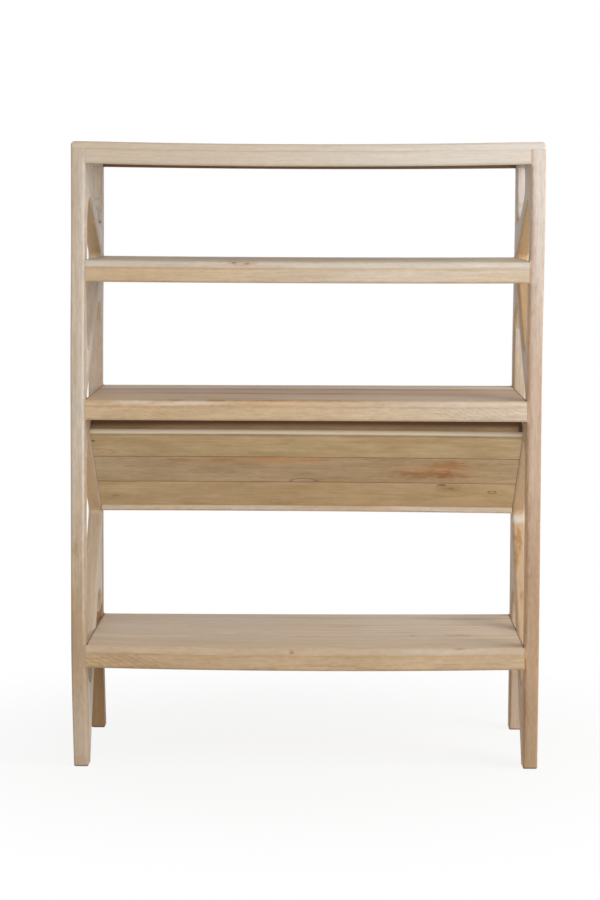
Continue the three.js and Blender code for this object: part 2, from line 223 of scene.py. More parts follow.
class RackStage(bpy.types.PropertyGroup):
    """Camera, lamps and floor."""

    camera_place: FloatVectorProperty(
        name="Camera place", description="Where the camera stands", size=3,
        default=(0.034473, -4.910221, 1.074465), subtype="TRANSLATION", unit="LENGTH",
    )
    camera_pitch: FloatProperty(
        name="Camera pitch", description="How far the camera looks down", default=0.071892,
        subtype="ANGLE",
    )
    camera_yaw: FloatProperty(
        name="Camera yaw", description="How far the camera looks to the right", default=-0.0098182,
        subtype="ANGLE",
    )
    camera_roll: FloatProperty(
        name="Camera roll", description="How far the camera tips over", default=-0.00371536,
        subtype="ANGLE",
    )
    lens: FloatProperty(
        name="Lens", description="Focal length of the camera", default=99.182, unit="CAMERA",
    )
    lens_shift: FloatProperty(
        name="Lens shift", description="Drop of the frame below the camera's axis",
        default=-0.06992,
    )
    side_power: FloatProperty(
        name="Side power", description="Power of the lamp at the right", default=48.0,
        unit="POWER",
    )
    front_power: FloatProperty(
        name="Front power", description="Power of the lamp in front", default=32.0,
        unit="POWER",
    )
    sky_light: FloatProperty(
        name="Room light", description="Strength of the white room", default=0.47,
    )
    floor: colour("Floor", "Plain pale floor", "F2F1EF")


class Socket:
    """An output of a material's nodes. Arithmetic with it adds Math nodes."""

    def __init__(self, tree, output=None):
        self.tree = tree
        self.output = output

    def node(self, kind, settings=None, values=None, output=0):
        """Adds a node, sets its settings, then its sockets, and gives one of its outputs."""
        node = self.tree.nodes.new(kind)
        for name, value in (settings or {}).items():
            if name == "stops":
                ramp = node.color_ramp
                for element, (place, shade) in zip(ramp.elements, value):
                    element.position = place
                    element.color = (shade, shade, shade, 1)
                for place, shade in value[2:]:
                    ramp.elements.new(place).color = (shade, shade, shade, 1)
            else:
                setattr(node, name, value)
        for name, value in (values or {}).items():
            if isinstance(value, Socket):
                self.tree.links.new(value.output, node.inputs[name])
            else:
                node.inputs[name].default_value = value
        return Socket(self.tree, node.outputs[output])

    def math(self, operation, *values):
        return self.node("ShaderNodeMath", {"operation": operation}, dict(enumerate(values)))

    def vector(self, operation, *values, output=0):
        settings = {"operation": operation}
        return self.node("ShaderNodeVectorMath", settings, dict(enumerate(values)), output)

    def scaled(self, factor):
        """This colour or vector, with all its parts times one number."""
        return self.node("ShaderNodeVectorMath", {"operation": "SCALE"}, {0: self, "Scale": factor})

    def mix(self, first, second, blend="MIX"):
        """The first colour with this share of the second one."""
        settings = {"data_type": "RGBA", "blend_type": blend}
        return self.node("ShaderNodeMix", settings, {0: self, 6: first, 7: second}, 2)

    def ramp(self, *stops):
        """Numbers at given places between 0 and 1, and even changes from one to the next."""
        return self.node("ShaderNodeValToRGB", {"stops": stops}, {"Fac": self})

    def fract(self):
        """What this number has past its point."""
        return self.math("FRACT", self)

    def ring_line(self):
        """The dark line at the end of each whole number, as late wood ends a growth ring."""
        return self.fract().ramp((0.0, 0.0), (0.5, 0.2), (0.86, 1.0), (0.97, 0.0))

    def distance(self):
        """The length of this vector."""
        return self.vector("LENGTH", self, output="Value")

    def toward(self, direction):
        """How far this vector points in a direction."""
        return self.vector("DOT_PRODUCT", self, direction, output="Value")

    def size(self):
        """This number without its sign."""
        return self.math("ABSOLUTE", self)

    def swing(self, width):
        """This noise, whose middle is a half, as a swing of some width round 0."""
        return (self - 0.5) * width

    def between(self, low, high, start=0.0, end=1.0):
        """A soft step from start to end as this value goes from low to high."""
        settings = {"interpolation_type": "SMOOTHSTEP"}
        values = {"Value": self, 1: low, 2: high, 3: start, 4: end}
        return self.node("ShaderNodeMapRange", settings, values)

    def noise(self, stretch, shift, detail, roughness):
        """Noise of this place, squeezed by stretch on each axis."""
        place = self.vector("MULTIPLY_ADD", self, stretch, shift)
        values = {"Vector": place, "Scale": 1.0, "Detail": detail, "Roughness": roughness}
        return self.node("ShaderNodeTexNoise", None, values)

    def parts(self):
        """The three parts of a vector."""
        node = self.node("ShaderNodeSeparateXYZ", None, {0: self}).output.node
        return [Socket(self.tree, output) for output in node.outputs]

    def __add__(self, other):
        return self.math("ADD", self, other)

    __radd__ = __add__

    def __sub__(self, other):
        return self.math("SUBTRACT", self, other)

    def __rsub__(self, other):
        return self.math("SUBTRACT", other, self)

    def __mul__(self, other):
        return self.math("MULTIPLY", self, other)

    __rmul__ = __mul__

    def __truediv__(self, other):
        return self.math("DIVIDE", self, other)

    def __rtruediv__(self, other):
        return self.math("DIVIDE", other, self)

    def __pow__(self, other):
        return self.math("POWER", self, other)


# What a ring, a deeper patch and a stain leave of the light, in red, green and blue.
LATE_WOOD = (0.70, 0.56, 0.42, 1.0)
PATCH = (0.80, 0.75, 0.66, 1.0)
STAIN = (0.76, 0.53, 0.33, 1.0)

# The noises in the wood: how each is squeezed along, across and through the grain, where it
# begins, how many finer layers it has, how rough they are, and the limits of its soft step.
NOISES = {
    "bend": ((1.1, 5.0, 5.0), (0.0, 0.0, 0.0), 2.0, 0.5, None),
    "waver": ((9.0, 34.0, 34.0), (3.1, 0.0, 0.0), 3.0, 0.5, None),
    "breaks": ((2.4, 22.0, 22.0), (0.0, 5.7, 0.0), 2.0, 0.5, (0.32, 0.68)),
    "streak": ((6.5, 90.0, 90.0), (0.0, 0.0, 9.2), 3.0, 0.55, None),
    "fleck": ((55.0, 190.0, 190.0), (1.9, 0.0, 0.0), 3.0, 0.6, None),
    "fibre": ((14.0, 460.0, 460.0), (0.0, 0.0, 0.0), 3.0, 0.6, None),
    "pores": ((75.0, 1500.0, 1500.0), (0.0, 0.0, 0.0), 1.0, 0.5, (0.60, 0.74)),
    "clouds": ((5.0, 22.0, 22.0), (8.8, 0.0, 0.0), 4.0, 0.6, (0.30, 0.70, 1.0, 0.0)),
    "soft": ((2.4, 40.0, 40.0), (0.0, 2.3, 4.4), 4.0, 0.62, (0.36, 0.66)),
    "mineral": ((2.6, 66.0, 66.0), (6.1, 1.2, 0.0), 3.0, 0.6, (0.60, 0.76)),
    "rags": ((60.0, 190.0, 190.0), (0.0, 7.7, 0.0), 3.0, 0.6, None),
}

# How far a piece's noises lie from those of the piece before it.
SEED_STEPS = (7.31, 3.77, 11.3)

# How far a face's normal points up, to the front, along the grain or square to the broad faces:
# between its two limits, a face passes into each of these kinds or out of it.
UNDERSIDE = (-0.35, -0.05)
BROADSIDE = (0.35, 0.9)
FRONTAL = (0.6, 0.9)
DOWNWARD = (-0.9, -0.6)
UPWARD = (0.5, 0.9)
ENDWISE = (0.7, 0.95)
TO_FRONT = (0.0, -1.0, 0.0)

# How far noise moves the rings, a change of tone along a board, a worn and shaded edge and a
# rounded nose.
RING_WAVER = 0.009
TONE_WAVER = 0.3
EDGE_WAVER = 0.004
NOSE_WAVER = 0.002

# Lines on the wood, in metres: how far each is full, and where it ends.
NOSE_LINE = (0.0037, 0.0060)
NOSE_SHADOW_LINE = (0.0020, 0.0065)
JOINT_LINE = (0.0012, 0.0046)
SEAM_LINE = (0.0003, 0.0014)

# Where the painted shadow behind a rounded nose lies, how dark it, a seam and a pore are, how much
# of the width of a worn and shaded edge is full, and how streaks break it up.
NOSE_SHADOW_PLACE = 0.0095
NOSE_SHADOW = 0.28
SEAM_SHADE = 0.7
PORE_SHADE = 0.10
WORN_AND_SHADED_SHARE = 0.2
WORN_AND_SHADED_STREAKS = (0.35, 0.6, 0.35, 1.0)

# Relief and gloss of the wood.
FIBRE_RELIEF = 0.6
RING_RELIEF = 0.25
FLECK_RELIEF = 0.3
PORE_RELIEF = 0.5
BUMP_STRENGTH = 0.25
BUMP_DEPTH = 0.0004
ROUGHNESS_SPREAD = 0.16
WOOD_SPECULAR = 0.42


def opaque(rgb):
    return (*rgb, 1.0)


def wood_material(name, wood, base, turn, centre, low, high, figure):
    """Solid wood whose grain runs along the first axis of the turned place.

    Low and high are the piece's limits along the grain, across it and through it. The figure
    holds a seed, a tint, the place of the pith, how much the wood shows of each thing, and marks.
    """
    material = bpy.data.materials.new(name)
    material.use_nodes = True
    tree = material.node_tree
    start = Socket(tree)
    place = start.node("ShaderNodeAttribute", {"attribute_name": REST_PLACE}, output="Vector")
    facing = start.node("ShaderNodeTexCoord", output="Normal")
    local = start.node("ShaderNodeMapping", {"vector_type": "POINT"}, {
        "Vector": place,
        "Location": -(turn @ centre),
        "Rotation": turn.to_euler(),
    })
    parts = local.parts()
    along, across, depth = parts
    shift = Vector([figure["seed"] * step for step in SEED_STEPS])

    def noise(kind, stretch=None):
        """One of the noises in the wood, with a stretch of its own if one is given."""
        usual_stretch, begin, detail, roughness, limits = NOISES[kind]
        value = local.noise(stretch or usual_stretch, shift + Vector(begin), detail, roughness)
        return value.between(*limits) if limits else value

    def inset(axis):
        """How far a place lies in from the nearer side of the piece, on one axis."""
        middle = (high[axis] + low[axis]) / 2
        return (high[axis] - low[axis]) / 2 - (parts[axis] - middle).size()

    # Growth rings round a pith that lies outside the board, bent by slow noise
    pith_across, pith_depth = figure["pith"]
    bend = noise("bend")
    sideways = across - pith_across + bend.swing(figure["bend"])
    inward = depth - pith_depth
    radius = (sideways * sideways + inward * inward) ** 0.5
    radius = radius + along * figure["lean"] + noise("waver").swing(RING_WAVER)
    ring = (radius / wood.ring_spacing).ring_line() * noise("breaks")

    # Streaks along the grain, flecks, fine fibre and short open pores
    streak = noise("streak")
    fleck = noise("fleck")
    fibre = noise("fibre")
    pores = noise("pores")

    # The wood itself, warmer at one end, with slow patches of a deeper tone
    run = (along - low[0]) / (high[0] - low[0]) + bend.swing(TONE_WAVER)
    light = opaque(part * tint for part, tint in zip(base, figure["tint"]))
    surface = run.between(*figure["warm"]).mix(light, opaque(wood.warm_wood))
    patch = noise("clouds", figure["clouds"]) * figure["patches"]
    surface = patch.mix(surface, PATCH, "MULTIPLY")
    surface = (ring * figure["rings"]).mix(surface, LATE_WOOD, "MULTIPLY")

    # Lime that has stayed in the soft grain, and orange-brown mineral streaks
    lime = run.between(*figure["lime"]) * (1.0 + noise("soft").swing(figure["soft"]))
    surface = lime.mix(surface, opaque(wood.lime))
    surface = (noise("mineral") * figure["mineral"]).mix(surface, opaque(wood.mineral))

    # Sawn faces, painted light on faces that look to the front or down, end grain, and worn and
    # shaded edges
    upward = facing.parts()[2]
    broad = facing.toward(figure["broad"]).size()
    # Sawn faces take a tone that is partly painted light.
    cut = upward.between(*UNDERSIDE, *figure["cut"]) * broad.between(*BROADSIDE, 1.0, 0.0)
    surface = cut.mix(surface, opaque(wood.cut_wood))
    # Painted light: faces that look to the front or down take the figure's front factor, darker or
    # lighter as light falls on them.
    painted_light_facing = facing.toward(TO_FRONT).between(*FRONTAL)
    painted_light_facing = painted_light_facing.math("MAXIMUM", painted_light_facing, upward.between(*DOWNWARD, 1.0, 0.0))
    surface = painted_light_facing.mix(surface, opaque(figure["front"]), "MULTIPLY")
    end = facing.toward(turn[0]).size().between(*ENDWISE)
    surface = (end * figure["ends"]).mix(surface, opaque(wood.end_wood))
    # Painted shade in part: a line of mineral tone along the edges, partly wear and partly warm
    # shade on the rounded edges.
    edge = across.math("MAXIMUM", inset(1), inset(2)) + fleck.swing(EDGE_WAVER)
    worn = edge.between(WORN_AND_SHADED_SHARE * wood.worn_and_shaded_edge, wood.worn_and_shaded_edge, figure["edges"], 0.0)
    surface = (worn * streak.between(*WORN_AND_SHADED_STREAKS)).mix(surface, opaque(wood.mineral))

    brightness = 1.0 + streak.swing(figure["streaks"]) + fibre.swing(figure["fibres"])
    brightness = brightness + fleck.swing(figure["flecks"]) - pores * PORE_SHADE
    surface = surface.scaled(brightness)

    # A pale nose, partly painted highlight, with a painted shadow behind it, marks, dark ends at
    # the posts, and seams
    if figure["nose"]:
        from_nose = across - low[1]
        nose = (from_nose + fleck.swing(NOSE_WAVER)).between(*NOSE_LINE, figure["nose"], 0.0)
        surface = nose.mix(surface, opaque(wood.pale_wood))
        from_shadow = (from_nose - NOSE_SHADOW_PLACE).size()
        shadow = from_shadow.between(*NOSE_SHADOW_LINE, NOSE_SHADOW, 0.0)
        surface = shadow.mix(surface, opaque(wood.seam))
    rags = noise("rags")
    for kind, spot, reach, strength in figure["marks"]:
        offset = local.vector("SUBTRACT", local, turn @ (Vector(spot) - centre))
        mark = Mark(local.vector("DIVIDE", offset, reach), rags, streak, strength)
        surface = MARKS[kind](surface, mark, wood)
    if figure["joint"]:
        joint = inset(0).between(*JOINT_LINE, figure["joint"], 0.0) * upward.between(*UPWARD)
        surface = joint.mix(surface, opaque(wood.dark_wood))
    for side in figure["seams"]:
        from_seam = (across - (low[1], high[1])[side]).size()
        seam = from_seam.between(*SEAM_LINE, SEAM_SHADE, 0.0)
        surface = seam.mix(surface, opaque(wood.seam))

    height = fibre * FIBRE_RELIEF + ring * RING_RELIEF + fleck * FLECK_RELIEF - pores * PORE_RELIEF
    relief = {"Strength": BUMP_STRENGTH, "Distance": BUMP_DEPTH, "Height": height}
    shader = tree.nodes["Principled BSDF"]
    for socket, value in (
        ("Base Color", surface),
        ("Roughness", wood.roughness + streak.swing(ROUGHNESS_SPREAD)),
        ("Normal", height.node("ShaderNodeBump", None, relief)),
    ):
        tree.links.new(value.output, shader.inputs[socket])
    shader.inputs["Specular IOR Level"].default_value = WOOD_SPECULAR
    return material


class Mark:
    """A mark on the wood: places as shares of its reach, noise for its rim, and its strength."""

    def __init__(self, scaled, rags, streak, strength):
        self.scaled = scaled
        self.distance = scaled.distance()
        self.rags = rags
        self.streak = streak
        self.strength = strength

    def spot(self, inner, outer=1.0, wander=None):
        """A share that is full up to an inner part of the reach and fades to an outer one."""
        distance = self.distance if wander is None else self.distance + wander
        return distance.between(inner, outer, self.strength, 0.0)

    def blot(self):
        """A share with a very ragged rim."""
        return self.spot(0.30, wander=self.rags.swing(2.6))


# What each kind of mark does to the colour of the surface.

# Stains. Those along the front posts' rounded edges are painted shade.
def stain(surface, mark, wood):
    return mark.blot().mix(surface, STAIN, "MULTIPLY")


def rust(surface, mark, wood):
    return mark.blot().mix(surface, opaque(wood.rust))


def band(surface, mark, wood):
    """A stain that runs out in long streaks."""
    return mark.spot(0.25, 1.05, mark.streak.swing(3.2)).mix(surface, STAIN, "MULTIPLY")


# Lime marks. Those on the left front post's inner edge, at the top's right end and on the lower
# right brace are painted highlights.
def lime_and_painted_highlight(surface, mark, wood):
    return mark.spot(0.2, wander=mark.rags.swing(1.2)).mix(surface, opaque(wood.lime))


# Painted shade: a soft spot mixed towards the dark tone, full up to six tenths of its reach. It
# darkens the back stop as shade and draws the dark line at each post's foot.
def shade(surface, mark, wood):
    return mark.spot(0.6).mix(surface, opaque(wood.dark_wood))


def knot(surface, mark, wood):
    """A dark core in a halo of ripples."""
    ripple = (mark.distance * 3.0 + mark.rags.swing(2.0)).fract()
    halo = mark.spot(0.3) * (0.45 + ripple * 0.4)
    surface = halo.mix(surface, opaque(wood.mineral))
    return mark.spot(0.18, 0.42, mark.rags.swing(0.8)).mix(surface, opaque(wood.seam))


def swirl(surface, mark, wood):
    """Rings of grain round a spot."""
    rings = (mark.distance * 2.6 + mark.rags.swing(1.1)).ring_line()
    return (rings * mark.spot(0.7)).mix(surface, LATE_WOOD, "MULTIPLY")


def slant(surface, mark, wood):
    """Grain that runs out of a face in slanting strokes."""
    strokes = (mark.scaled.toward((6.0, 0.0, 2.6)) + mark.rags.swing(1.6)).ring_line()
    return (strokes * mark.spot(0.6)).mix(surface, LATE_WOOD, "MULTIPLY")


def plug(surface, mark, wood):
    """The thin dark rim of a let-in plug or of a sound knot."""
    rim = (mark.distance - 1.0).size().between(0.0, 0.30, mark.strength, 0.0)
    return rim.mix(surface, opaque(wood.seam))


def crack(surface, mark, wood):
    return mark.spot(0.5, wander=mark.rags.swing(0.9)).mix(surface, opaque(wood.seam))


MARKS = {
    "stain": stain,
    "rust": rust,
    "band": band,
    "lime": lime_and_painted_highlight,
    "shade": shade,
    "knot": knot,
    "swirl": swirl,
    "slant": slant,
    "plug": plug,
    "crack": crack,
}


def along_fall(degrees, rearward):
    """Turns a brace so that its grain lies along the first axis."""
    angle = math.radians(degrees)
    way = 1 if rearward else -1
    down = Vector((0, way * math.cos(angle), -math.sin(angle)))
    side = Vector((1, 0, 0))
    return Matrix((down, side, down.cross(side)))


# Turns that put a piece's grain along the first axis, its width along the second one and its
# thickness along the third one.
ALONG_X = Matrix.Identity(3)
ALONG_Y = along_fall(0, True)
ALONG_Z = Matrix(((0, 0, 1), (1, 0, 0), (0, 1, 0)))
ON_SLOPE = Matrix.Rotation(math.radians(BRACES["middle"][0]), 3, "X")


def soft_step(share):
    """A share from 0 to 1 that starts and ends gently."""
    share = min(1.0, max(0.0, share))
    return share * share * (3 - 2 * share)


def lifted(corner_lifts, right, rear):
    """The lift at a place between four corners."""
    front_left, front_right, rear_left, rear_right = corner_lifts
    left_lift = front_left + (rear_left - front_left) * rear
    right_lift = front_right + (rear_right - front_right) * rear
    return left_lift + (right_lift - left_lift) * right


def down_shelf(shelf, level):
    """The share of the way from a flat shelf's top down to its underside."""
    bottom, top = SHELF_SPANS[shelf]
    return (top - level) / (top - bottom)


def settled(place, group, shape):
    """Where a point of the rack has come to rest after years of use."""
    x, y, z = place
    bow = max(0.0, 1.0 - (x / HALF_SPAN) ** 2)
    rear = (y + HALF_DEPTH) / (2 * HALF_DEPTH)
    right = (x + HALF_SPAN) / (2 * HALF_SPAN)
    upper = soft_step((z - LEAN_LEVELS[0]) / (LEAN_LEVELS[1] - LEAN_LEVELS[0]))
    below = max(0.0, 1.0 - z / LEG_LEVEL)
    if group == "top":
        z += lifted(shape.top_lift, right, rear)
        z -= bow * (shape.top_front_sag * (1 - rear) + shape.top_rear_sag * rear)
    elif group == "upper_shelf":
        z -= bow * shape.upper_sag
    elif group == "middle_shelf":
        z += lifted(shape.middle_lift, right, rear) + shape.middle_trim * down_shelf(group, z)
    elif group == "lower_shelf":
        z += lifted(shape.lower_lift, right, rear) + shape.lower_trim * down_shelf(group, z)
        z -= bow * (shape.lower_front_sag * (1 - rear) + shape.lower_rear_sag * rear)
    elif group == "slope":
        z += bow * shape.slope_rise - shape.slope_tilt * right
    else:
        z += lifted(shape.top_lift, right, rear) * upper
        if x < 0:
            x += shape.leg_lean * below ** LEG_CURVE
        else:
            x -= shape.right_lean * below
    x += shape.upper_lean * upper - shape.right_lean * (1 - upper) * right
    return Vector((x, y, z))


def plain_values(settings):
    """The settings as plain numbers, which are quicker to read for each point."""
    values = {name: getattr(settings, name) for name in settings.__annotations__}
    return SimpleNamespace(**{
        name: value if isinstance(value, float) else tuple(value)
        for name, value in values.items()
    })


def cut_across(body, low, high, axis, lengths):
    """Cuts a piece into even lengths, which stay joined."""
    normal = Matrix.Identity(3)[axis]
    for step in range(1, lengths):
        bmesh.ops.bisect_plane(
            body, geom=body.verts[:] + body.edges[:] + body.faces[:], dist=MERGE_DISTANCE,
            plane_co=normal * (low[axis] + (high[axis] - low[axis]) * step / lengths),
            plane_no=normal,
        )


def dressed(node, group, context):
    """A smooth copy of a CAD node, with eased edges, settled like the rest of its group."""
    shape = plain_values(context.scene.rack_shape)
    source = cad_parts[node]
    body = bmesh.new()
    body.from_mesh(source.data)
    body.transform(source.matrix_world)
    bmesh.ops.remove_doubles(body, verts=body.verts, dist=MERGE_DISTANCE)
    bmesh.ops.dissolve_limit(body, angle_limit=FLAT_ANGLE, verts=body.verts, edges=body.edges)
    if not body.faces:
        raise RuntimeError(f"{node} has no faces")
    sharp = [
        edge for edge in body.edges
        if edge.is_manifold and edge.is_convex and edge.calc_face_angle(0.0) > EASED_ANGLE
    ]
    bmesh.ops.bevel(
        body, geom=sharp, offset=shape.eased_edge, affect="EDGES", segments=1, profile=0.5,
        material=-1, clamp_overlap=True,
    )
    cut_across(body, *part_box(node), *(FRAME_LENGTHS if group == "frame" else BOARD_LENGTHS))
    rest = body.verts.layers.float_vector.new(REST_PLACE)
    for vert in body.verts:
        vert[rest] = vert.co
        vert.co = settled(vert.co, group, shape)
    for face in body.faces:
        face.smooth = True
    for edge in body.edges:
        edge.smooth = not edge.is_manifold or edge.calc_face_angle(0.0) < SMOOTH_ANGLE
    mesh = bpy.data.meshes.new(f"{node}_dressed")
    body.to_mesh(mesh)
    body.free()
    piece = bpy.data.objects.new(f"{node}_dressed", mesh)
    context.scene.collection.objects.link(piece)
    weights = piece.modifiers.new("even_normals", "WEIGHTED_NORMAL")
    weights.keep_sharp = True
    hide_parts(node)
    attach(piece, "root")
    return piece


def even(share):
    """The same share from one end of a board to the other."""
    return (0.0, 1.0, share, share)


# What the wood of a piece shows where nothing else is said. Warm and lime are shares that go from
# the third number to the fourth one between two places along the grain.
PLAIN_FIGURE = {
    "tint": (1.0, 1.0, 1.0),  # times the colour of the slot
    "warm": even(0.0),  # bare wood without lime
    "lime": even(0.1),  # lime in the grain
    "soft": 0.9,  # how far the lime follows the soft grain
    "broad": (1.0, 0.0, 0.0),  # square to the faces that aren't sawn
    "cut": (0.0, 0.0),  # tone of sawn faces that look down, and of the others
    # Painted light: faces that look to the front or down are made darker or lighter than the rest
    # of the piece, as the light falls on them.
    "front": (1.0, 1.0, 1.0),  # times the colour of faces that look to the front or down
    "pith": (0.03, -0.07),  # place of the pith, across the grain and through it
    "bend": 0.05,  # how far the rings bend to and fro
    "lean": 0.02,  # how far the rings run out along the grain
    "clouds": None,  # stretch of the deeper patches, if it isn't the usual one
    "patches": 0.6,
    "rings": 0.22,
    "streaks": 0.35,
    "flecks": 0.32,
    "fibres": 0.35,
    "mineral": 0.12,
    # Share of the line along the edges, partly wear and partly painted shade.
    "edges": 0.25,
    "ends": 0.7,
    # The pale nose is partly paler wood and partly painted highlight.
    "nose": 0.0,  # pale tone of a planed edge
    "marks": (),  # kind, middle, reach along, across and through the grain, and strength
    "seams": (),  # sides with a dark seam: 0 for the lower one across the grain, 1 for the other
    "joint": 0.0,  # dark tone of the upper face at both ends
}

# The dark line along the lower edge of a post.
FOOT = ("shade", (0.0, 0.0, 0.0), (0.0042, 9.0, 9.0), 0.60)

